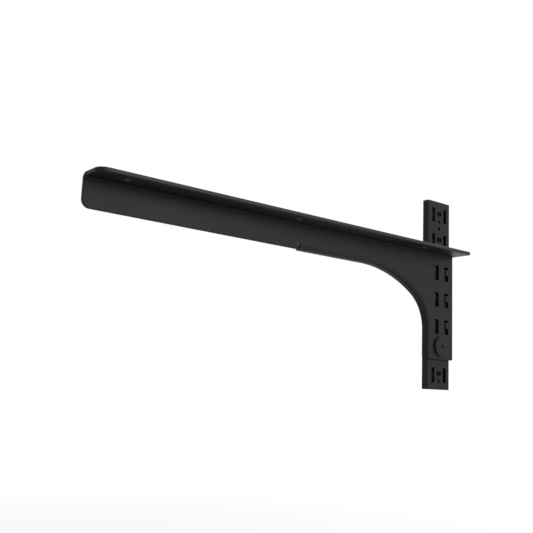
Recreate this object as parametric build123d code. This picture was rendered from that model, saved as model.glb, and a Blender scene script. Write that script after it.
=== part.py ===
from build123d import *
import math
import os

# An L-shaped shelf bracket of folded sheet, hooked on a slotted wall rail and held by a flat-headed pin.
# Y = 0 is the face of the rail, on which the leg lies, with the room towards -Y and the wall behind the rail.
# X = 0 is the middle of the rail, and Z = 0 is the middle of the wall screw hole above the arm.

# Sheets
bracket_sheet = 3.0
fold_inner_radius = 1.5
rail_sheet = 1.5

# Rail
rail_width = 32.0
rail_depth = 6.5
rail_fold_radius = 2.0
row_pitch = 25.0
row_count = 7
rail_end_margin = 13.2
slot_width = 4.0
slot_height = 13.5
slot_corner_radius = 0.2
column_spacing = 16.5

# Small openings on the centre line of the rail, measured from the middle of the slots of their row
lock_slot_rise = 1.5
lock_slot_length = 7.0
lock_slot_height = 4.2
pilot_hole_drop = 5.9
pilot_hole_diameter = 3.0
wall_screw_drop = 12.75
wall_screw_hole_diameter = 3.5

# Arm, leg and flange of the bracket
arm_length = 380.0
arm_height = 23.5
arm_corner_radius = 6.0
leg_width = 35.3
leg_height = 100.5
flange_width = 24.0
flange_tip_radius = 7.0
flange_side_radius = 2.0

# Lip along the lower outline, with a gentle and a tight arc under the gusset
lip_depth = 7.6
lip_start_from_tip = 187.0
lip_corner_radius = 3.0
relief_width = 2.0
gentle_radius = 121.8
tight_radius = 36.9
tight_angle = 57.4

# Screw holes in the flange
shelf_hole_count = 3
shelf_hole_spacing = 150.0
shelf_hole_diameter = 5.5
shelf_hole_from_tip = 25.0
shelf_hole_from_free_edge = 8.5

# Hooks and the windows they are cut from
hook_row_count = 3
rows_above_bracket = 2
first_window_drop = 20.5
window_height = 13.5
window_corner_radius = 0.8
hook_blank_length = 6.0
hook_inner_radius = 0.3
hook_relief = 2.0
hook_drop = 5.9
hook_tip_gap = 0.3
hook_wall_gap = 0.2
hook_reach = 3.3
hook_tip_slope = 0.7

# Pin
pin_row = 5
pin_head_diameter = 18.6
pin_head_height = 2.2
pin_edge_radius = 0.7
pin_shank_diameter = 2.8
pin_shank_length = 6.5
pin_clearance = 0.1
pin_recess_diameter = 3.0
pin_recess_depth = 1.4

# Planes and lines across the wall that follow from the sizes above
fold_outer_radius = fold_inner_radius + bracket_sheet
rail_face = 0.0
wall_plane = rail_face + rail_depth
leg_face = rail_face - bracket_sheet
flange_edge = rail_face - flange_width
lip_edge = leg_face + lip_depth
lip_outside = -rail_width / 2 - bracket_sheet
leg_side = lip_outside + leg_width
arm_tip = leg_side - arm_length
lip_start = arm_tip + lip_start_from_tip
column = column_spacing / 2
hook_outer_radius = hook_inner_radius + bracket_sheet
bend_line = column + bracket_sheet / 2 + hook_inner_radius
window_middle_x = bend_line - hook_blank_length / 2
pin_x = -(lock_slot_length - lock_slot_height) / 2

# Heights that follow from them
first_slot_middle = wall_screw_drop
rail_top = first_slot_middle + rail_end_margin
rail_length = (row_count - 1) * row_pitch + 2 * rail_end_margin
first_window_middle = first_slot_middle - rows_above_bracket * row_pitch - hook_drop
shelf_plane = first_window_middle + first_window_drop
flange_underside = shelf_plane - bracket_sheet
arm_bottom = shelf_plane - arm_height
leg_bottom = shelf_plane - leg_height
lock_slot_floor = first_slot_middle - pin_row * row_pitch + lock_slot_rise - lock_slot_height / 2
pin_height = lock_slot_floor + pin_clearance + pin_shank_diameter / 2

# Centres of the two arcs under the gusset
arc_step = gentle_radius - tight_radius
tight_x = lip_outside - tight_radius
gentle_x = tight_x - arc_step * math.cos(math.radians(tight_angle))
gentle_z = arm_bottom - gentle_radius
tight_z = gentle_z + arc_step * math.sin(math.radians(tight_angle))


def slab(outline, back, thickness):
    """A plate standing in the X-Z plane, from its back plane towards the room."""
    return extrude(Plane.XZ.offset(-back) * outline, thickness)


def block(x_low, x_high, y_low, y_high, z_low, z_high):
    """A box given by its two corners."""
    size = (x_high - x_low, y_high - y_low, z_high - z_low)
    middle = ((x_low + x_high) / 2, (y_low + y_high) / 2, (z_low + z_high) / 2)
    return Pos(*middle) * Box(*size)


def area(x_low, x_high, y_low, y_high):
    """A rectangle given by its two corners."""
    middle = ((x_low + x_high) / 2, (y_low + y_high) / 2)
    return Pos(*middle) * Rectangle(x_high - x_low, y_high - y_low)


def drill(x, y, z, diameter, sheet):
    """A round cutter across the wall, through a sheet at the given place."""
    return Pos(x, y, z) * Rot(90, 0, 0) * Cylinder(diameter / 2, 3 * sheet)


def inside_outline(low):
    """The region above and behind the lower outline of the arm, the gusset and the leg."""
    left = gentle_x - arm_length
    right = leg_side + arm_length
    high = shelf_plane + arm_height
    straight = Line((left, arm_bottom), (gentle_x, arm_bottom))
    gentle = CenterArc((gentle_x, gentle_z), gentle_radius, tight_angle, 90 - tight_angle)
    tight = CenterArc((tight_x, tight_z), tight_radius, 0, tight_angle)
    front = Line((lip_outside, tight_z), (lip_outside, low))
    bottom = Line((lip_outside, low), (right, low))
    side = Line((right, low), (right, high))
    top = Line((right, high), (left, high))
    end = Line((left, high), (left, arm_bottom))
    return make_face([straight, gentle, tight, front, bottom, side, top, end])


def outline_edges(part, plane_y, inset):
    """Edges in a plane of constant Y that follow the lower outline of the sheet, moved in by the inset."""
    level = arm_bottom + inset
    front = lip_outside + inset
    near = 0.01
    found = []
    for edge in part.edges():
        box = edge.bounding_box()
        flat = abs(box.min.Y - plane_y) < near and abs(box.max.Y - plane_y) < near
        on_arm = abs(box.min.Z - level) < near and abs(box.max.Z - level) < near
        on_leg = abs(box.min.X - front) < near and abs(box.max.X - front) < near
        curved = edge.geom_type == GeomType.CIRCLE and edge.radius > fold_outer_radius
        on_lip = box.min.X > lip_start - near
        if flat and on_lip and (on_arm or on_leg or curved):
            found.append(edge)
    return found


def lengthwise_edges(part, y, z):
    """Edges along the arm at the given place across it."""
    near = 0.01
    along = part.edges().filter_by(Axis.X)
    return [e for e in along if abs(e.center().Y - y) < near and abs(e.center().Z - z) < near]


def relief_notch():
    """The cut that frees the end of the lip from the plain edge of the arm."""
    top = arm_bottom + fold_outer_radius
    return block(lip_start - relief_width, lip_start, leg_face, rail_face, arm_bottom, top)


def folded_sheet():
    """Web, leg, top flange and lower lip with their folds."""
    web = inside_outline(leg_bottom) & area(arm_tip, leg_side, leg_bottom, shelf_plane)
    body = slab(web, rail_face, bracket_sheet)
    body += block(arm_tip, leg_side, flange_edge, rail_face, flange_underside, shelf_plane)

    region = inside_outline(leg_bottom - arm_height)
    band = region - offset(region, -bracket_sheet, kind=Kind.INTERSECTION)
    reach = area(lip_start, lip_outside + bracket_sheet, leg_bottom, arm_bottom + bracket_sheet)
    body += slab(band & reach, lip_edge, lip_depth)
    body -= relief_notch()

    body = fillet(outline_edges(body, leg_face, 0), fold_outer_radius)
    body = fillet(outline_edges(body, rail_face, bracket_sheet), fold_inner_radius)
    body = fillet(lengthwise_edges(body, rail_face, shelf_plane), fold_outer_radius)
    return fillet(lengthwise_edges(body, leg_face, flange_underside), fold_inner_radius)


def corner_cutter(x, y, radius, x_side, y_side):
    """The waste outside a quarter round, as a face with its sharp corner at the given point."""
    square = Pos(x - x_side * radius / 2, y - y_side * radius / 2) * Rectangle(radius, radius)
    disc = Pos(x - x_side * radius, y - y_side * radius) * Circle(radius)
    return square - disc


def corner_waste():
    """What the blank loses at the free corners of the web, the flange and the two ends of the lip."""
    web = corner_cutter(arm_tip, arm_bottom, arm_corner_radius, -1, -1)
    tip = corner_cutter(arm_tip, flange_edge, flange_tip_radius, -1, -1)
    side = corner_cutter(leg_side, flange_edge, flange_side_radius, 1, -1)
    start = corner_cutter(lip_start, lip_edge, lip_corner_radius, -1, 1)
    low = corner_cutter(lip_edge, leg_bottom, lip_corner_radius, 1, -1)
    return [
        slab(web, rail_face, bracket_sheet),
        extrude(Plane.XY.offset(flange_underside) * tip, bracket_sheet),
        extrude(Plane.XY.offset(flange_underside) * side, bracket_sheet),
        extrude(Plane.XY.offset(arm_bottom) * start, bracket_sheet),
        extrude(Plane.YZ.offset(lip_outside) * low, bracket_sheet),
    ]


def shelf_holes():
    """Cutters for the screw holes along the flange."""
    y = flange_edge + shelf_hole_from_free_edge
    z = (flange_underside + shelf_plane) / 2
    first = arm_tip + shelf_hole_from_tip
    cutter = Cylinder(shelf_hole_diameter / 2, 3 * bracket_sheet)
    return [Pos(first + index * shelf_hole_spacing, y, z) * cutter for index in range(shelf_hole_count)]


def hook(side, middle):
    """One hook bent out of its window towards the rail, with its bend line on the outer side of the window."""
    neck_top = middle + window_height / 2 - hook_relief
    neck_bottom = middle - window_height / 2 + hook_drop
    tip = middle - window_height / 2 + hook_tip_gap
    bend_y = rail_face + hook_inner_radius
    end_y = bend_y + hook_reach
    nose_y = rail_face + rail_sheet + hook_wall_gap

    ring = Circle(hook_outer_radius) - Circle(hook_inner_radius)
    quarter = ring & area(-hook_outer_radius, 0, -hook_outer_radius, 0)
    bend = extrude(Pos(bend_line, bend_y, neck_bottom) * quarter, neck_top - neck_bottom)

    profile = Polyline(
        (bend_y, neck_top),
        (end_y - hook_tip_slope, neck_top),
        (end_y, neck_top - hook_tip_slope),
        (end_y, tip + hook_tip_slope),
        (end_y - hook_tip_slope, tip),
        (nose_y + hook_tip_slope, tip),
        (nose_y, tip + 2 * hook_tip_slope),
        (nose_y, neck_bottom),
        (bend_y, neck_bottom),
        close=True,
    )
    plate = extrude(Plane.YZ.offset(bend_line - hook_outer_radius) * make_face(profile), bracket_sheet)
    shape = bend + plate
    return shape if side > 0 else mirror(shape, Plane.YZ)


def make_bracket():
    """The folded bracket with its holes, windows and hooks."""
    body = folded_sheet()
    for waste in corner_waste() + shelf_holes():
        body -= waste
    body -= drill(pin_x, (leg_face + rail_face) / 2, pin_height, pin_shank_diameter, bracket_sheet / 2)
    for row in range(hook_row_count):
        middle = first_window_middle - row * row_pitch
        window = RectangleRounded(hook_blank_length, window_height, window_corner_radius)
        for side in (-1, 1):
            body -= slab(Pos(side * window_middle_x, middle) * window, rail_face, bracket_sheet)
            body += hook(side, middle)
    return body


def rail_section():
    """The flat closed section, with rounded folds on the room side and its back flat on the wall."""
    half = rail_width / 2
    outer = area(-half, half, rail_face, wall_plane)
    outer = fillet(outer.vertices().group_by(Axis.Y)[0], rail_fold_radius)
    inner = area(rail_sheet - half, half - rail_sheet, rail_face + rail_sheet, wall_plane - rail_sheet)
    inner = fillet(inner.vertices().group_by(Axis.Y)[0], rail_fold_radius - rail_sheet)
    return outer - inner


def make_rail():
    """The wall rail, with slots and small openings in its face and one screw hole through both walls."""
    rail = extrude(Plane.XY.offset(rail_top - rail_length) * rail_section(), rail_length)
    back = rail_face + rail_sheet
    for row in range(row_count):
        middle = first_slot_middle - row * row_pitch
        slot = RectangleRounded(slot_width, slot_height, slot_corner_radius)
        for side in (-1, 1):
            rail -= slab(Pos(side * column, middle) * slot, back, rail_sheet)
        lock = Pos(0, middle + lock_slot_rise) * SlotOverall(lock_slot_length, lock_slot_height)
        rail -= slab(lock, back, rail_sheet)
        rail -= drill(0, back, middle - pilot_hole_drop, pilot_hole_diameter, rail_sheet)
    screw_height = first_slot_middle - wall_screw_drop
    return rail - drill(0, wall_plane / 2, screw_height, wall_screw_hole_diameter, rail_depth)


def make_pin():
    """The flat-headed pin that passes through the leg into the rail and stops the hooks lifting."""
    low = (Align.CENTER, Align.CENTER, Align.MIN)
    high = (Align.CENTER, Align.CENTER, Align.MAX)
    head = Cylinder(pin_head_diameter / 2, pin_head_height, align=low)
    head = fillet(head.edges().group_by(Axis.Z)[-1], pin_edge_radius)
    head -= Pos(0, 0, pin_head_height) * Cylinder(pin_recess_diameter / 2, pin_recess_depth, align=high)
    shank = Cylinder(pin_shank_diameter / 2, pin_shank_length, align=high)
    shank = chamfer(shank.edges().group_by(Axis.Z)[0], pin_edge_radius)
    return Pos(pin_x, leg_face, pin_height) * Rot(90, 0, 0) * (head + shank)


os.makedirs("parts", exist_ok=True)
export_step(make_bracket(), "parts/bracket.step")
export_step(make_rail(), "parts/wall_rail.step")
export_step(make_pin(), "parts/lock_pin.step")
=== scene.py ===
"""Dresses the shelf bracket, its slotted wall rail and its locking pin, and lights them as photographed."""

import logging
import math
from dataclasses import dataclass
from enum import Enum

import bmesh
import bpy
from mathutils import Matrix, Vector


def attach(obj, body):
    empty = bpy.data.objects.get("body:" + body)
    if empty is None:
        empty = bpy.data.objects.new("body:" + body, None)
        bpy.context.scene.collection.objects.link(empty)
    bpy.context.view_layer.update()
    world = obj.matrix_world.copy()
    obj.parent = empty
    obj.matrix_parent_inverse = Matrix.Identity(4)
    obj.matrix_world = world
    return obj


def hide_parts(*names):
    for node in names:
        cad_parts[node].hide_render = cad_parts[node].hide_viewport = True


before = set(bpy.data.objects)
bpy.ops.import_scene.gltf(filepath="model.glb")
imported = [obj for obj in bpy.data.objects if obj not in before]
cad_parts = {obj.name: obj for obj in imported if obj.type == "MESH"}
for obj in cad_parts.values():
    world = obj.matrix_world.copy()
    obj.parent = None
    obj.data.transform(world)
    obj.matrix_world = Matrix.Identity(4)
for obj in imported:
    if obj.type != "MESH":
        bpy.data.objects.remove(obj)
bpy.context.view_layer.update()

MM = 0.001
FLAT_ANGLE = math.radians(0.5)
log = logging.getLogger("shelf_bracket")


class Body(Enum):
    """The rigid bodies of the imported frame."""

    ROOT = "root"


class Solver(Enum):
    """How the mesh cuts are worked out."""

    EXACT = "EXACT"


class Wire:
    """A node's output that can be used in Python arithmetic."""

    def __init__(self, board: "NodeBoard", socket: bpy.types.NodeSocket) -> None:
        """Keeps the output and the board it stands on.

        Args:
            board: The board whose tree holds the node.
            socket: The output socket.
        """
        self.board = board
        self.socket = socket

    def _math(self, operation: str, first: object, second: object) -> "Wire":
        """Adds one Math node.

        Args:
            operation: The Math node's operation.
            first: The first number or wire.
            second: The second number or wire.

        Returns:
            The node's value.
        """
        return self.board.add("ShaderNodeMath", {"operation": operation}, {0: first, 1: second})[0]

    def __add__(self, other: object) -> "Wire":
        """This plus another."""
        return self._math("ADD", self, other)

    def __radd__(self, other: object) -> "Wire":
        """Another plus this."""
        return self._math("ADD", other, self)

    def __sub__(self, other: object) -> "Wire":
        """This less another."""
        return self._math("SUBTRACT", self, other)

    def __rsub__(self, other: object) -> "Wire":
        """Another less this."""
        return self._math("SUBTRACT", other, self)

    def __mul__(self, other: object) -> "Wire":
        """This times another."""
        return self._math("MULTIPLY", self, other)

    def __rmul__(self, other: object) -> "Wire":
        """Another times this."""
        return self._math("MULTIPLY", other, self)

    def __pow__(self, other: object) -> "Wire":
        """This to a power."""
        return self._math("POWER", self, other)

    def larger(self, other: object) -> "Wire":
        """The larger of this and another."""
        return self._math("MAXIMUM", self, other)

    def wrap(self, half: float) -> "Wire":
        """This, repeated so that it stays between minus half and half."""
        return self.board.add("ShaderNodeMath", {"operation": "WRAP"}, {0: self, 1: half, 2: -half})[0]

    def ramp(self, low: float, high: float) -> "Wire":
        """A smooth rise from 0 at low to 1 at high.

        Args:
            low: Where the rise starts.
            high: Where it ends.

        Returns:
            The smoothed value between 0 and 1.
        """
        settings = {"interpolation_type": "SMOOTHSTEP"}
        sockets = {"Value": self, "From Min": low, "From Max": high}
        return self.board.add("ShaderNodeMapRange", settings, sockets)[0]


class Placed:
    """A node on a board, whose outputs are read by name or number."""

    def __init__(self, board: "NodeBoard", node: bpy.types.Node) -> None:
        """Keeps the node and its board.

        Args:
            board: The board whose tree holds the node.
            node: The node itself.
        """
        self.board = board
        self.node = node

    def __getitem__(self, key: object) -> Wire:
        """The output of that name or number."""
        return Wire(self.board, self.node.outputs[key])


class NodeBoard:
    """Lays nodes out in one tree, for a material, the world or a shape."""

    def __init__(self, tree: bpy.types.NodeTree) -> None:
        """Starts from an empty tree.

        Args:
            tree: The tree, which is emptied.
        """
        tree.nodes.clear()
        self.tree = tree

    def add(self, kind: str, settings: dict | None = None, sockets: dict | None = None) -> Placed:
        """Adds one node.

        Args:
            kind: Blender's name for the node type.
            settings: The node's own settings, which are set before its sockets.
            sockets: Values, wires or placed nodes for the input sockets, by name or number.

        Returns:
            The placed node.
        """
        node = self.tree.nodes.new(kind)
        for name, value in (settings or {}).items():
            setattr(node, name, value)
        for key, value in (sockets or {}).items():
            self._feed(node.inputs[key], value)
        return Placed(self, node)

    def _feed(self, socket: bpy.types.NodeSocket, value: object) -> None:
        """Links or sets one input; a list is linked in turn, as a joining node takes it.

        Args:
            socket: The input.
            value: A wire, a placed node, a list of wires, or a plain value.
        """
        if isinstance(value, list):
            for one in value:
                self._feed(socket, one)
        elif isinstance(value, Placed):
            self.tree.links.new(value[0].socket, socket)
        elif isinstance(value, Wire):
            self.tree.links.new(value.socket, socket)
        else:
            socket.default_value = value


@dataclass(frozen=True)
class HoleRow:
    """A row of round upright holes, whose walls get a painted highlight: a lighter, metallic coat."""

    first: float
    across: float
    spacing: float
    radius: float
    border: float = 0.3 * MM

    def mask(self, board: NodeBoard, place: Wire) -> Wire:
        """Marks the walls of the holes.

        Args:
            board: The material's board.
            place: The coordinates.

        Returns:
            1 in the holes' walls, 0 elsewhere.
        """
        split = board.add("ShaderNodeSeparateXYZ", None, {0: place})
        along = (split["X"] - self.first).wrap(self.spacing / 2)
        aside = split["Y"] - self.across
        away = (along * along + aside * aside) ** 0.5
        return 1.0 - away.ramp(self.radius, self.radius + self.border)


@dataclass(frozen=True)
class Zone:
    """A box-shaped part of a piece, with soft borders, where painted shade or a painted highlight is laid on
    the coat.
    """

    low: tuple[float, float, float]
    high: tuple[float, float, float]
    border: float

    def mask(self, board: NodeBoard, place: Wire) -> Wire:
        """Marks the zone.

        Args:
            board: The material's board.
            place: The coordinates.

        Returns:
            1 inside the box, 0 beyond its borders.
        """
        split = board.add("ShaderNodeSeparateXYZ", None, {0: place})
        inside = 1.0
        for axis, low, high in zip("XYZ", self.low, self.high):
            offset = split[axis] - (low + high) / 2
            half = (high - low) / 2
            inside = inside * (1.0 - offset.larger(-1.0 * offset).ramp(half, half + self.border))
        return inside


@dataclass(frozen=True)
class PowderCoat:
    """A baked powder coat: satin, finely pebbled, thinner, shinier and lighter on edges, the lighter tone
    partly wear and partly a painted highlight, with painted shade and painted highlights in given zones and
    holes, and a little dust on top.
    """

    name: str
    colour: tuple[float, float, float]
    # Lighter tone on edges: partly edge wear, partly a painted highlight.
    edge_wear_highlight_colour: tuple[float, float, float]
    roughness: float = 0.5
    edge_roughness: float = 0.4
    sheen_level: float = 0.15
    pebble_size: float = 0.9 * MM
    pebble_depth: float = 0.03 * MM
    cloud_size: float = 45 * MM
    edge_width: float = 0.8 * MM
    dust: float = 0.35
    dust_patch: float = 22 * MM
    dust_colour: tuple[float, float, float] = (0.11, 0.108, 0.103)
    # Colour of the painted highlight in the holes' walls.
    glint_colour: tuple[float, float, float] = (0.11, 0.11, 0.108)
    least_shade: float = 0.88
    cloud_shade: float = 0.16
    speck_shade: float = 0.1
    # Share of the lighter edge tone on edges of faces that don't look up, and its rise to full on upper
    # roundings, where it is a painted highlight.
    side_edge_share: float = 0.35
    upper_highlight_slope: tuple[float, float] = (0.1, 0.7)
    # Least share of the painted highlight in the highlight zone.
    highlight_least: float = 0.5
    # Least share and cloudy rise of the painted highlight in the holes' walls.
    glint_least: float = 0.3
    glint_cloud: float = 0.45
    edge_turn: tuple[float, float] = (0.01, 0.16)
    edge_gaps: tuple[float, float] = (0.25, 0.75)
    dust_slope: tuple[float, float] = (0.75, 1.0)
    dust_gaps: tuple[float, float] = (0.35, 0.8)
    cloud_gloss: float = 0.1
    pebble_gloss: float = 0.06
    speck_relief: float = 0.3
    ring_relief: float = 0.5
    relief_strength: float = 0.5
    dust_dulling: float = 0.25
    # Extra roughness in the painted-shade zone.
    shade_zone_dulling: float = 0.15
    ring_scale: float = 420.0
    turned: bool = False
    # Holes whose walls get a painted highlight.
    hole_glint: HoleRow | None = None
    # Zone darkened as painted shade.
    shade_zone: Zone | None = None
    # Zone lightened as a painted highlight.
    highlight_zone: Zone | None = None
    # How far the painted-shade zone is darkened.
    shade_darkening: float = 0.55

    def material(self) -> bpy.types.Material:
        """Builds the material.

        Returns:
            The finished material.
        """
        coat = bpy.data.materials.new(self.name)
        coat.use_nodes = True
        board = NodeBoard(coat.node_tree)
        place = board.add("ShaderNodeTexCoord")["Object"]
        clouds = self._noise(board, place, self.cloud_size, 3.0)
        pebbles = self._noise(board, place, self.pebble_size, 2.0)
        specks = self._noise(board, place, self.pebble_size / 4, 1.0)
        edge = self._edge_mask(board, clouds)
        normal = board.add("ShaderNodeNewGeometry")["Normal"]
        upward = board.add("ShaderNodeSeparateXYZ", None, {0: normal})["Z"]
        dust = self._dust_mask(board, place, upward, specks)

        shade = self.least_shade + self.cloud_shade * clouds + self.speck_shade * (specks - 0.5)
        # Painted shade: the coat is darkened in the shade zone.
        painted_shade = self.shade_zone.mask(board, place) if self.shade_zone else 0.0
        shade = shade * (1.0 - self.shade_darkening * painted_shade)
        tint = board.add("ShaderNodeVectorMath", {"operation": "SCALE"}, {0: self.colour, "Scale": shade})
        # Lighter edges: partly edge wear, partly a painted highlight, strongest on upward-facing roundings.
        level = self.side_edge_share
        wear_and_highlight = edge * (level + (1.0 - level) * upward.ramp(*self.upper_highlight_slope))
        # Painted highlight: the highlight zone is lightened to the edge tone.
        if self.highlight_zone:
            least = self.highlight_least
            zone_lightening = self.highlight_zone.mask(board, place) * (least + (1.0 - least) * clouds)
            wear_and_highlight = wear_and_highlight.larger(zone_lightening)
        worn_and_highlighted = self._blend(board, wear_and_highlight, tint, (*self.edge_wear_highlight_colour, 1.0))
        dusty = self._blend(board, dust, worn_and_highlighted, (*self.dust_colour, 1.0))
        glint_metal, colour = 0.0, dusty
        # Painted highlight: the holes' walls get a lighter, metallic coat.
        if self.hole_glint:
            glint_metal = self.hole_glint.mask(board, place) * (self.glint_least + self.glint_cloud * clouds)
            colour = self._blend(board, glint_metal, dusty, (*self.glint_colour, 1.0))

        gloss = self.roughness + self.cloud_gloss * (clouds - 0.5) + self.pebble_gloss * (pebbles - 0.5)
        gloss = gloss - (self.roughness - self.edge_roughness) * edge
        gloss = gloss + self.dust_dulling * dust + self.shade_zone_dulling * painted_shade
        relief = pebbles + self.speck_relief * specks
        if self.turned:
            relief = relief + self.ring_relief * self._turning(board, place)
        sockets = {"Strength": self.relief_strength, "Distance": self.pebble_depth, "Height": relief}
        bump = board.add("ShaderNodeBump", None, sockets)
        shader = board.add(
            "ShaderNodeBsdfPrincipled",
            None,
            {
                "Base Color": colour,
                "Metallic": glint_metal,
                "Roughness": gloss,
                "Normal": bump,
                "IOR": 1.5,
                "Specular IOR Level": self.sheen_level,
            },
        )
        board.add("ShaderNodeOutputMaterial", None, {"Surface": shader})
        return coat

    def _noise(self, board: NodeBoard, place: Wire, size: float, detail: float) -> Wire:
        """A soft noise from 0 to 1.

        Args:
            board: The material's board.
            place: The coordinates.
            size: The size of one feature in metres.
            detail: How many finer layers it has.

        Returns:
            The noise's value.
        """
        sockets = {"Vector": place, "Scale": 1.0 / size, "Detail": detail, "Roughness": 0.55}
        return board.add("ShaderNodeTexNoise", None, sockets)["Fac"]

    def _edge_mask(self, board: NodeBoard, clouds: Wire) -> Wire:
        """Where the sheet's cut edges and folds turn sharply; the coat is made shinier and lighter there,
        partly as edge wear and partly as a painted highlight.

        Args:
            board: The material's board.
            clouds: A slow variation that breaks the edge up.

        Returns:
            A mask from 0 to 1.
        """
        turned = board.add("ShaderNodeBevel", {"samples": 6}, {"Radius": self.edge_width})
        flat = board.add("ShaderNodeNewGeometry")["Normal"]
        match = board.add("ShaderNodeVectorMath", {"operation": "DOT_PRODUCT"}, {0: turned, 1: flat})["Value"]
        return (1.0 - match).ramp(*self.edge_turn) * clouds.ramp(*self.edge_gaps)

    def _dust_mask(self, board: NodeBoard, place: Wire, upward: Wire, specks: Wire) -> Wire:
        """Fine dust on the faces that look up.

        Args:
            board: The material's board.
            place: The coordinates.
            upward: How far a face looks up, from -1 to 1.
            specks: A fine noise.

        Returns:
            A mask from 0 to 1.
        """
        patches = self._noise(board, place, self.dust_patch, 4.0)
        return upward.ramp(*self.dust_slope) * patches.ramp(*self.dust_gaps) * specks * self.dust

    def _turning(self, board: NodeBoard, place: Wire) -> Wire:
        """Fine rings left by a lathe, round the axis of the pin.

        Args:
            board: The material's board.
            place: The coordinates.

        Returns:
            The rings' height.
        """
        x, _, z = LockPin().centre
        moved = board.add("ShaderNodeMapping", None, {"Vector": place, "Location": (-x, 0.0, -z)})
        settings = {"wave_type": "RINGS", "rings_direction": "Y"}
        sockets = {"Vector": moved, "Scale": self.ring_scale, "Distortion": 0.2}
        return board.add("ShaderNodeTexWave", settings, sockets)["Fac"]

    def _blend(self, board: NodeBoard, mask: Wire, below: object, above: object) -> Wire:
        """Mixes two colours.

        Args:
            board: The material's board.
            mask: 0 shows the colour below, 1 the one above.
            below: The first colour.
            above: The second colour.

        Returns:
            The mixed colour.
        """
        return board.add("ShaderNodeMix", {"data_type": "RGBA"}, {0: mask, 6: below, 7: above})[2]


@dataclass
class SheetEdges:
    """The softened cut edges that a coated sheet has."""

    radius: float = 0.7 * MM
    steps: int = 3
    sharp_angle: float = 40.0

    def soften(self, piece: bpy.types.Object, by_weight: bool) -> None:
        """Rounds a piece's convex edges and keeps its faces flat.

        Args:
            piece: The piece's object.
            by_weight: True where the mesh carries a weight on each edge, False to take them by their angle.
        """
        bevel = piece.modifiers.new("cut_edges", "BEVEL")
        bevel.width = self.radius
        bevel.segments = self.steps
        bevel.use_clamp_overlap = False
        bevel.miter_outer = "MITER_ARC"
        bevel.limit_method = "WEIGHT" if by_weight else "ANGLE"
        bevel.angle_limit = math.radians(self.sharp_angle)
        normals = piece.modifiers.new("flat_faces", "WEIGHTED_NORMAL")
        normals.keep_sharp = True


def finish_piece(piece: bpy.types.Object, node: str) -> None:
    """Puts a finished piece on its body in place of its CAD node.

    Args:
        piece: The piece's object.
        node: The CAD node that it stands for.
    """
    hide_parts(node)
    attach(piece, Body.ROOT.value)
    log.info("%s stands for %s with %d faces", piece.name, node, len(piece.data.polygons))


def show(name: str, mesh: bpy.types.Mesh, coat: bpy.types.Material) -> bpy.types.Object:
    """Makes a smooth-shaded object of a mesh, at the origin.

    Args:
        name: The object's name.
        mesh: Its mesh.
        coat: Its material.

    Returns:
        The new object.
    """
    mesh.materials.clear()
    mesh.materials.append(coat)
    mesh.shade_smooth()
    piece = bpy.data.objects.new(name, mesh)
    bpy.context.scene.collection.objects.link(piece)
    return piece


@dataclass
class FoldedBracket:
    """The arm, gusset, leg, flange and lip folded from one sheet, with the hooks lanced from the leg."""

    edges: SheetEdges
    sharp_angle: float = 38.0
    hook_half_band: float = 12.6 * MM
    hook_depth: float = 2.6 * MM
    hook_softness: float = 0.1
    hole_softness: float = 0.35
    leg_below: float = -30 * MM
    windows_end: float = -121.5 * MM
    hole_line: float = -15.5 * MM
    hole_reach: float = 3.2 * MM
    tip_end: float = -360 * MM
    near_end: float = 12 * MM
    merge_reach: float = 0.002 * MM

    def build(self, coat: bpy.types.Material) -> bpy.types.Object:
        """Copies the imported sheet, joins its triangles into whole faces and softens its edges.

        Args:
            coat: The bracket's material.

        Returns:
            The bracket's object.
        """
        mesh = bpy.data.meshes.new("folded_bracket")
        sheet = bmesh.new()
        sheet.from_mesh(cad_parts["bracket"].data)
        bmesh.ops.remove_doubles(sheet, verts=sheet.verts, dist=self.merge_reach)
        bmesh.ops.dissolve_limit(
            sheet, angle_limit=FLAT_ANGLE, verts=sheet.verts, edges=sheet.edges, delimit=set()
        )
        self._weigh(sheet)
        sheet.to_mesh(mesh)
        sheet.free()
        piece = show("folded_bracket", mesh, coat)
        self.edges.soften(piece, by_weight=True)
        return piece

    def _weigh(self, sheet: bmesh.types.BMesh) -> None:
        """Marks which edges are rounded, and how much.

        Args:
            sheet: The merged sheet.
        """
        weights = sheet.edges.layers.float.new("bevel_weight_edge")
        for edge in sheet.edges:
            if not edge.is_manifold or edge.calc_face_angle() < math.radians(self.sharp_angle):
                continue
            if edge.is_convex:
                edge[weights] = self._softness(edge)
            else:
                edge.smooth = False

    def _softness(self, edge: bmesh.types.BMEdge) -> float:
        """How much of the full radius an edge gets.

        Args:
            edge: A convex edge.

        Returns:
            The whole radius on the sheet's outline, less round its windows and holes, and least on the hooks.
        """
        on_leg = all(abs(v.co.x) < self.hook_half_band and v.co.z < self.leg_below for v in edge.verts)
        if on_leg and all(v.co.y > -self.hook_depth for v in edge.verts):
            return self.hook_softness
        on_flange = all(abs(v.co.y - self.hole_line) < self.hole_reach for v in edge.verts)
        in_window = on_leg and all(v.co.z > self.windows_end for v in edge.verts)
        return self.hole_softness if in_window or on_flange and not self._at_end(edge) else 1.0

    def _at_end(self, edge: bmesh.types.BMEdge) -> bool:
        """Whether an edge crosses the flange's end, not one of its screw holes."""
        return all(v.co.x < self.tip_end or v.co.x > self.near_end for v in edge.verts)


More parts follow.
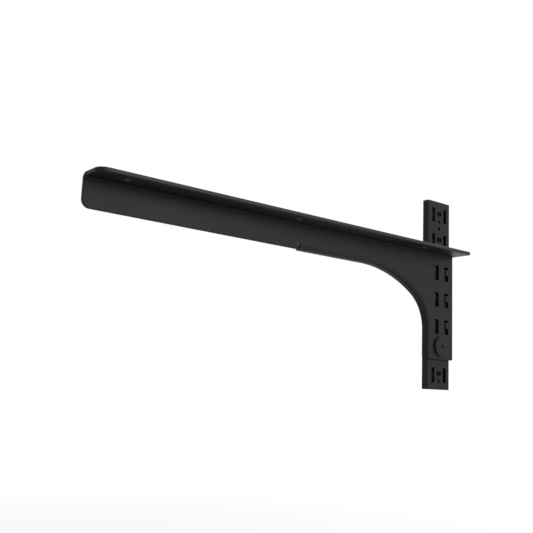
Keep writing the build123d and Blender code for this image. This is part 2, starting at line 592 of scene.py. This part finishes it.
@dataclass
class SlottedRail:
    """The flat closed rail on the wall, with its two columns of slots and the openings between them."""

    edges: SheetEdges
    width: float = 32.0 * MM
    depth: float = 6.5 * MM
    sheet: float = 1.5 * MM
    fold_radius: float = 2.0 * MM
    length: float = 176.4 * MM
    low_end: float = -150.45 * MM
    first_row: float = 12.75 * MM
    pitch: float = 25.0 * MM
    rows: int = 7
    column_spacing: float = 16.5 * MM
    slot_width: float = 4.0 * MM
    slot_height: float = 13.5 * MM
    slot_corner: float = 0.2 * MM
    lock_length: float = 7.0 * MM
    lock_height: float = 4.2 * MM
    lock_rise: float = 1.5 * MM
    pilot_width: float = 3.0 * MM
    pilot_drop: float = 5.9 * MM
    screw_width: float = 3.5 * MM
    screw_drop: float = 12.75 * MM
    fold_steps: int = 8
    slot_steps: int = 2
    lock_steps: int = 10
    ring_steps: int = 32
    lock_roundness: float = 0.499
    seam_reach: float = 0.001 * MM
    merge_reach: float = 0.005 * MM

    def build(self, coat: bpy.types.Material) -> bpy.types.Object:
        """Draws the rail's section and lets the punching tree run it up the wall.

        Args:
            coat: The rail's material.

        Returns:
            The rail's object.
        """
        blank = bpy.data.objects.new("rail_blank", self._section())
        bpy.context.scene.collection.objects.link(blank)
        tree, sockets = self._punching_tree()
        press = blank.modifiers.new("punching", "NODES")
        press.node_group = tree
        for name, value in self._sizes().items():
            press[sockets[name]] = value
        press[sockets["Coat"]] = coat
        blank.update_tag()
        graph = bpy.context.evaluated_depsgraph_get()
        mesh = bpy.data.meshes.new_from_object(blank.evaluated_get(graph))
        mesh.name = "slotted_rail"
        bpy.data.objects.remove(blank)
        piece = show("slotted_rail", self._tidy(mesh), coat)
        self.edges.soften(piece, by_weight=False)
        return piece

    def _sizes(self) -> dict[str, float | int]:
        """The values of the tree's named inputs.

        Returns:
            Each input's name and value.
        """
        return {
            "Length": self.length,
            "Low End": self.low_end,
            "First Row": self.first_row,
            "Pitch": self.pitch,
            "Rows": self.rows,
            "Column Spacing": self.column_spacing,
            "Slot Width": self.slot_width,
            "Slot Height": self.slot_height,
            "Slot Corner": self.slot_corner,
            "Lock Length": self.lock_length,
            "Lock Height": self.lock_height,
            "Lock Rise": self.lock_rise,
            "Pilot Width": self.pilot_width,
            "Pilot Drop": self.pilot_drop,
            "Screw Width": self.screw_width,
            "Screw Drop": self.screw_drop,
            "Cut Depth": 2 * self.sheet,
            "Through Depth": 2 * self.depth,
        }

    def _section(self) -> bpy.types.Mesh:
        """The section's outer and inner outlines, with faces between them, as a flat ring.

        Returns:
            The section's mesh.
        """
        half = self.width / 2
        inner_radius = self.fold_radius - self.sheet
        outer = self._corner(half - self.fold_radius, self.fold_radius, self.fold_radius)
        inner = self._corner(half - self.fold_radius, self.fold_radius, inner_radius)
        outer_side = [*outer, (half, self.depth)]
        inner_side = [*inner, (half - self.sheet, self.depth - self.sheet)]
        outer_ring = outer_side + [(-x, y) for x, y in reversed(outer_side)]
        inner_ring = inner_side + [(-x, y) for x, y in reversed(inner_side)]
        count = len(outer_ring)
        steps = [(step, (step + 1) % count) for step in range(count)]
        faces = [(one, two, count + two, count + one) for one, two in steps]
        mesh = bpy.data.meshes.new("rail_section")
        mesh.from_pydata([(x, y, 0.0) for x, y in outer_ring + inner_ring], [], faces)
        return mesh

    def _corner(self, x: float, y: float, radius: float) -> list[tuple[float, float]]:
        """Points round one fold, from the face to the side.

        Args:
            x: The fold's centre along the wall.
            y: The fold's centre across the wall.
            radius: Its radius.

        Returns:
            The points.
        """
        turns = [math.radians(90 * step / self.fold_steps) for step in range(self.fold_steps + 1)]
        return [(x + radius * math.sin(turn), y - radius * math.cos(turn)) for turn in turns]

    def _punching_tree(self) -> tuple[bpy.types.NodeTree, dict[str, str]]:
        """Builds the tree that runs the section up the wall and punches the openings, row by row.

        Returns:
            The tree, and the identifier of each named input.
        """
        tree = bpy.data.node_groups.new("rail_punching", "GeometryNodeTree")
        face = tree.interface
        face.new_socket("Section", in_out="INPUT", socket_type="NodeSocketGeometry")
        sockets = {}
        for name, value in self._sizes().items():
            kind = "NodeSocketInt" if isinstance(value, int) else "NodeSocketFloat"
            sockets[name] = face.new_socket(name, in_out="INPUT", socket_type=kind).identifier
        sockets["Coat"] = face.new_socket("Coat", in_out="INPUT", socket_type="NodeSocketMaterial").identifier
        face.new_socket("Rail", in_out="OUTPUT", socket_type="NodeSocketGeometry")

        board = NodeBoard(tree)
        given = board.add("NodeGroupInput")
        tube = self._raise(board, given["Section"], given["Length"])
        stood = self._move(board, tube, self._point(board, 0.0, 0.0, given["Low End"]))
        half = given["Column Spacing"] * 0.5
        cut = given["Cut Depth"]
        size = (given["Slot Width"], given["Slot Height"], given["Slot Corner"])
        slot = self._oblong(board, *size, cut, self.slot_steps)
        size = (given["Lock Length"], given["Lock Height"], given["Lock Height"] * self.lock_roundness)
        lock = self._oblong(board, *size, cut, self.lock_steps)
        pilot = self._round(board, given["Pilot Width"], given["Cut Depth"])
        screw = self._round(board, given["Screw Width"], given["Through Depth"])
        first = given["First Row"]
        cuts = [
            self._column(board, given, slot, half, first, given["Rows"]),
            self._column(board, given, slot, -1.0 * half, first, given["Rows"]),
            self._column(board, given, lock, 0.0, first + given["Lock Rise"], given["Rows"]),
            self._column(board, given, pilot, 0.0, first - given["Pilot Drop"], given["Rows"]),
            self._move(board, screw, self._point(board, 0.0, 0.0, first - given["Screw Drop"])),
        ]
        joined = board.add("GeometryNodeJoinGeometry", None, {"Geometry": cuts})
        punches = board.add("GeometryNodeRealizeInstances", None, {"Geometry": joined})
        settings = {"operation": "DIFFERENCE", "solver": Solver.EXACT.value}
        punched = board.add("GeometryNodeMeshBoolean", settings, {"Mesh 1": stood, "Mesh 2": punches})
        whole = board.add("GeometryNodeRealizeInstances", None, {"Geometry": punched})
        coated = board.add("GeometryNodeSetMaterial", None, {"Geometry": whole, "Material": given["Coat"]})
        board.add("NodeGroupOutput", None, {"Rail": coated})
        return tree, sockets

    def _point(self, board: NodeBoard, x: object, y: object, z: object) -> Wire:
        """A vector from three numbers or wires."""
        return board.add("ShaderNodeCombineXYZ", None, {"X": x, "Y": y, "Z": z})[0]

    def _move(self, board: NodeBoard, shape: object, offset: Wire) -> Placed:
        """Moves a shape."""
        return board.add("GeometryNodeTransform", None, {"Geometry": shape, "Translation": offset})

    def _raise(self, board: NodeBoard, face: object, height: Wire) -> Placed:
        """Makes a closed prism of a face.

        Args:
            board: The tree's board.
            face: The flat face, in the X-Y plane.
            height: How far it is raised along Z.

        Returns:
            The prism.
        """
        up = self._point(board, 0.0, 0.0, 1.0)
        sockets = {"Mesh": face, "Offset": up, "Offset Scale": height, "Individual": False}
        raised = board.add("GeometryNodeExtrudeMesh", {"mode": "FACES"}, sockets)
        base = board.add("GeometryNodeFlipFaces", None, {"Mesh": face})
        both = board.add("GeometryNodeJoinGeometry", None, {"Geometry": [raised, base]})
        return board.add("GeometryNodeMergeByDistance", None, {"Geometry": both, "Distance": self.seam_reach})

    def _punch(self, board: NodeBoard, outline: object, reach: Wire) -> Placed:
        """Makes a punch of a closed curve: a prism along Y that reaches as far each way from the rail's face.

        Args:
            board: The tree's board.
            outline: The closed curve, in the X-Y plane.
            reach: How far the punch goes in, and stands out.

        Returns:
            The punch, centred on the origin.
        """
        filled = board.add("GeometryNodeFillCurve", {"mode": "NGONS"}, {"Curve": outline})
        lowered = self._move(board, filled, self._point(board, 0.0, 0.0, -1.0 * reach))
        prism = self._raise(board, lowered, 2.0 * reach)
        turned = {"Geometry": prism, "Rotation": (math.pi / 2, 0.0, 0.0)}
        return board.add("GeometryNodeTransform", None, turned)

    def _oblong(
        self, board: NodeBoard, width: Wire, height: Wire, corner: Wire, reach: Wire, steps: int
    ) -> Placed:
        """A punch with rounded corners.

        Args:
            board: The tree's board.
            width: Its width.
            height: Its height.
            corner: Its corner radius.
            reach: How far it goes in.
            steps: How many facets each corner has.

        Returns:
            The punch.
        """
        sides = {"Width": width, "Height": height}
        outline = board.add("GeometryNodeCurvePrimitiveQuadrilateral", None, sides)
        sockets = {"Curve": outline, "Radius": corner, "Count": steps}
        rounded = board.add("GeometryNodeFilletCurve", {"mode": "POLY"}, sockets)
        return self._punch(board, rounded, reach)

    def _round(self, board: NodeBoard, width: Wire, reach: Wire) -> Placed:
        """A round punch of the given width and reach."""
        sockets = {"Resolution": self.ring_steps, "Radius": width * 0.5}
        ring = board.add("GeometryNodeCurvePrimitiveCircle", None, sockets)
        return self._punch(board, ring, reach)

    def _column(
        self, board: NodeBoard, given: Placed, punch: Placed, x: object, top: Wire, count: Wire
    ) -> Placed:
        """One column of the same opening.

        Args:
            board: The tree's board.
            given: The tree's inputs.
            punch: The punch.
            x: The column's place across the rail.
            top: The height of its highest opening.
            count: How many openings it has.

        Returns:
            The punches as instances.
        """
        start = self._point(board, x, 0.0, top)
        step = self._point(board, 0.0, 0.0, -1.0 * given["Pitch"])
        sockets = {"Count": count, "Start Location": start, "Offset": step}
        places = board.add("GeometryNodeMeshLine", {"mode": "OFFSET"}, sockets)
        return board.add("GeometryNodeInstanceOnPoints", None, {"Points": places, "Instance": punch})

    def _tidy(self, mesh: bpy.types.Mesh) -> bpy.types.Mesh:
        """Merges stray points and joins coplanar faces before the edges are softened.

        Args:
            mesh: The punched rail.

        Returns:
            The same mesh.
        """
        rail = bmesh.new()
        rail.from_mesh(mesh)
        bmesh.ops.remove_doubles(rail, verts=rail.verts, dist=self.merge_reach)
        bmesh.ops.dissolve_limit(
            rail, angle_limit=FLAT_ANGLE, verts=rail.verts, edges=rail.edges, delimit=set()
        )
        bmesh.ops.recalc_face_normals(rail, faces=rail.faces)
        rail.to_mesh(mesh)
        rail.free()
        return mesh


@dataclass
class LockPin:
    """The flat-headed pin that holds the leg down on the rail, turned on a lathe."""

    centre: tuple[float, float, float] = (-1.4 * MM, -3.0 * MM, -111.35 * MM)
    head_radius: float = 9.3 * MM
    head_height: float = 2.2 * MM
    rim_radius: float = 0.7 * MM
    shank_radius: float = 1.4 * MM
    shank_length: float = 6.5 * MM
    recess_radius: float = 1.5 * MM
    recess_depth: float = 1.4 * MM
    break_edge: float = 0.25 * MM
    root_fillet: float = 0.02 * MM
    turns: int = 96

    def build(self, coat: bpy.types.Material) -> bpy.types.Object:
        """Turns the profile round the pin's axis.

        Args:
            coat: The pin's material.

        Returns:
            The pin's object.
        """
        profile = self._profile()
        body = bmesh.new()
        rings = [self._ring(body, radius, height) for radius, height in profile]
        for low, high in zip(rings, rings[1:]):
            self._join(body, low, high)
        bmesh.ops.recalc_face_normals(body, faces=body.faces)
        mesh = bpy.data.meshes.new("turned_pin")
        body.to_mesh(mesh)
        body.free()
        piece = show("turned_pin", mesh, coat)
        normals = piece.modifiers.new("flat_faces", "WEIGHTED_NORMAL")
        normals.keep_sharp = True
        return piece

    def _profile(self) -> list[tuple[float, float]]:
        """Radius and height from the bottom of the recess, over the head, to the end of the shank.

        Returns:
            The profile's points; a radius of 0 is on the axis.
        """
        top = self.head_height
        edge, rim, root = self.break_edge, self.rim_radius, self.root_fillet
        bottom = top - self.recess_depth
        points = [(0.0, bottom), (self.recess_radius - edge, bottom), (self.recess_radius, bottom + edge)]
        points += self._arc(self.recess_radius + edge, top - edge, edge, 180, 90, 3)
        points += self._arc(self.head_radius - rim, top - rim, rim, 90, 0, 6)
        points += self._arc(self.head_radius - edge, edge, edge, 0, -90, 3)
        points += [(self.shank_radius + root, 0.0), (self.shank_radius, -root)]
        points += [(self.shank_radius, rim - self.shank_length)]
        points += [(self.shank_radius - rim, -self.shank_length), (0.0, -self.shank_length)]
        return points

    def _arc(self, x: float, y: float, radius: float, start: float, end: float, steps: int) -> list:
        """Points of an arc in the profile.

        Args:
            x: The centre's radius from the axis.
            y: The centre's height.
            radius: The arc's radius.
            start: The first angle in degrees.
            end: The last angle in degrees.
            steps: How many facets the arc has.

        Returns:
            The points.
        """
        turns = [math.radians(start + (end - start) * step / steps) for step in range(steps + 1)]
        return [(x + radius * math.cos(turn), y + radius * math.sin(turn)) for turn in turns]

    def _ring(self, body: bmesh.types.BMesh, radius: float, height: float) -> list[bmesh.types.BMVert]:
        """One ring of points round the axis, or a single point on it.

        Args:
            body: The mesh being built.
            radius: The ring's radius.
            height: Its height above the leg, towards the room.

        Returns:
            The ring's points.
        """
        x, y, z = self.centre
        if radius == 0.0:
            return [body.verts.new((x, y - height, z))]
        angles = [2 * math.pi * turn / self.turns for turn in range(self.turns)]
        places = [(x + radius * math.cos(a), y - height, z + radius * math.sin(a)) for a in angles]
        return [body.verts.new(place) for place in places]

    def _join(self, body: bmesh.types.BMesh, low: list, high: list) -> None:
        """Closes the band between two rings.

        Args:
            body: The mesh being built.
            low: One ring, or the single point on the axis.
            high: The next one.
        """
        for turn in range(self.turns):
            after = (turn + 1) % self.turns
            if len(low) == 1:
                body.faces.new((low[0], high[turn], high[after]))
            elif len(high) == 1:
                body.faces.new((low[turn], low[after], high[0]))
            else:
                body.faces.new((low[turn], low[after], high[after], high[turn]))


@dataclass
class Lamp:
    """A soft rectangular lamp that looks at a point on the object."""

    name: str
    place: tuple[float, float, float]
    aim: tuple[float, float, float]
    size: float
    power: float

    def light(self) -> None:
        """Hangs the lamp in the studio."""
        data = bpy.data.lights.new(self.name, "AREA")
        data.shape = "SQUARE"
        data.size = self.size
        data.energy = self.power
        lamp = bpy.data.objects.new(self.name, data)
        lamp.location = self.place
        lamp.rotation_mode = "QUATERNION"
        lamp.rotation_quaternion = (Vector(self.aim) - Vector(self.place)).to_track_quat("-Z", "Y")
        bpy.context.scene.collection.objects.link(lamp)


@dataclass
class Viewpoint:
    """Where the photograph was taken from: place, direction, tilt and lens."""

    place: tuple[float, float, float] = (-0.56714, -0.44738, -0.15632)
    right: tuple[float, float, float] = (0.77506, -0.63057, 0.04070)
    up: tuple[float, float, float] = (-0.13175, -0.09827, 0.98640)
    lens: float = 51.28
    sensor: float = 36.0

    def set_up(self) -> None:
        """Makes the scene's camera."""
        data = bpy.data.cameras.new("camera")
        data.lens = self.lens
        data.sensor_width = self.sensor
        data.clip_start = 0.01
        data.clip_end = 50.0
        camera = bpy.data.objects.new("camera", data)
        right = Vector(self.right).normalized()
        back = right.cross(Vector(self.up)).normalized()
        turn = Matrix((right, back.cross(right), back)).transposed()
        camera.matrix_world = Matrix.Translation(self.place) @ turn.to_4x4()
        bpy.context.scene.collection.objects.link(camera)
        bpy.context.scene.camera = camera


@dataclass
class Studio:
    """A plain pale floor well below the bracket, a white surround, soft lamps and the camera."""

    lamps: tuple[Lamp, ...]
    viewpoint: Viewpoint
    floor_height: float = -0.36
    floor_reach: float = 3.0
    floor_shade: float = 0.6
    near_lift: float = 0.56
    far_lift: float = 0.86
    lift_from: float = 0.4
    lift_to: float = 1.6
    surround: float = 0.35

    def set_up(self) -> None:
        """Builds the floor, the surround, the lamps and the camera."""
        self._floor()
        self._surround()
        for lamp in self.lamps:
            lamp.light()
        self.viewpoint.set_up()
        bpy.context.scene.view_settings.view_transform = "Standard"
        log.info("studio with %d lamps", len(self.lamps))

    def _floor(self) -> None:
        """Lays the floor, which keeps shadows and is lifted to white only for the camera."""
        reach, height = self.floor_reach, self.floor_height
        mesh = bpy.data.meshes.new("floor")
        signs = ((-1, -1), (1, -1), (1, 1), (-1, 1))
        mesh.from_pydata([(reach * x, reach * y, height) for x, y in signs], [], [(0, 1, 2, 3)])
        paint = bpy.data.materials.new("floor_paint")
        paint.use_nodes = True
        board = NodeBoard(paint.node_tree)
        shade = (self.floor_shade, self.floor_shade, self.floor_shade, 1.0)
        matt = board.add("ShaderNodeBsdfDiffuse", None, {"Color": shade})
        path = board.add("ShaderNodeLightPath")
        seen = path["Is Camera Ray"].larger(path["Is Glossy Ray"]).larger(path["Is Transmission Ray"])
        place = board.add("ShaderNodeTexCoord")["Object"]
        away = board.add("ShaderNodeVectorMath", {"operation": "LENGTH"}, {0: place})["Value"]
        rise = away.ramp(self.lift_from, self.lift_to)
        lift = self.near_lift + (self.far_lift - self.near_lift) * rise
        glow = board.add("ShaderNodeEmission", None, {"Strength": seen * lift})
        both = board.add("ShaderNodeAddShader", None, {0: matt, 1: glow})
        board.add("ShaderNodeOutputMaterial", None, {"Surface": both})
        mesh.materials.append(paint)
        floor = bpy.data.objects.new("floor", mesh)
        bpy.context.scene.collection.objects.link(floor)

    def _surround(self) -> None:
        """Makes the surround: white where it is seen or mirrored, and plainly lit elsewhere."""
        world = bpy.data.worlds.new("surround")
        bpy.context.scene.world = world
        world.use_nodes = True
        board = NodeBoard(world.node_tree)
        path = board.add("ShaderNodeLightPath")
        seen = path["Is Camera Ray"].larger(path["Is Glossy Ray"]).larger(path["Is Transmission Ray"])
        strength = self.surround + (1.0 - self.surround) * seen
        white = board.add("ShaderNodeBackground", None, {"Color": (1.0, 1.0, 1.0, 1.0), "Strength": strength})
        board.add("ShaderNodeOutputWorld", None, {"Surface": white})


def main() -> None:
    """Builds the pieces, then the studio, and logs their face and lamp counts."""
    logging.basicConfig(level=logging.INFO)
    black = (0.0102, 0.0109, 0.0106)
    # Lighter edge tone: partly edge wear, partly a painted highlight.
    wear_and_highlight_tone = (0.04, 0.041, 0.04)
    # Painted highlight on the walls of the flange's screw holes.
    screw_holes = HoleRow(-338.7 * MM, -15.5 * MM, 150 * MM, 2.75 * MM)
    # Painted shade in the inner crease of the fold under the flange.
    fold = Zone((-1.0, -5.2 * MM, -26.6 * MM), (1.0, -2.0 * MM, -25.0 * MM), 2.6 * MM)
    # Painted shade inside the closed rail, seen through its openings.
    hollow = Zone((-14.9 * MM, 1.5 * MM, -1.0), (14.9 * MM, 5.1 * MM, 1.0), 0.2 * MM)
    # Painted highlight along the flange's free edge.
    free_edge = Zone((-1.0, -24.5 * MM, -24.7 * MM), (1.0, -23.5 * MM, -22.9 * MM), 0.4 * MM)
    bracket_coat = PowderCoat(
        "bracket_coat_satin", black, wear_and_highlight_tone, hole_glint=screw_holes, shade_zone=fold, highlight_zone=free_edge
    ).material()
    rail_coat = PowderCoat("rail_coat_satin", black, wear_and_highlight_tone, roughness=0.54, shade_zone=hollow).material()
    pin_coat = PowderCoat("pin_coat_satin", black, wear_and_highlight_tone, roughness=0.46, turned=True).material()

    finish_piece(FoldedBracket(SheetEdges()).build(bracket_coat), "bracket")
    finish_piece(SlottedRail(SheetEdges(radius=0.18 * MM)).build(rail_coat), "wall_rail")
    finish_piece(LockPin().build(pin_coat), "lock_pin")

    aim = (-0.15, 0.0, -0.06)
    key = Lamp("key", (0.2, -1.2, 0.2), aim, size=0.7, power=9.3)
    back = Lamp("back", (0.45, 0.1, 0.8), aim, size=0.5, power=3.5)
    rim = Lamp("rim", (0.95, 0.7, -0.22), aim, size=0.25, power=0.23)
    Studio((key, back, rim), Viewpoint()).set_up()


if __name__ == "__main__":
    main()
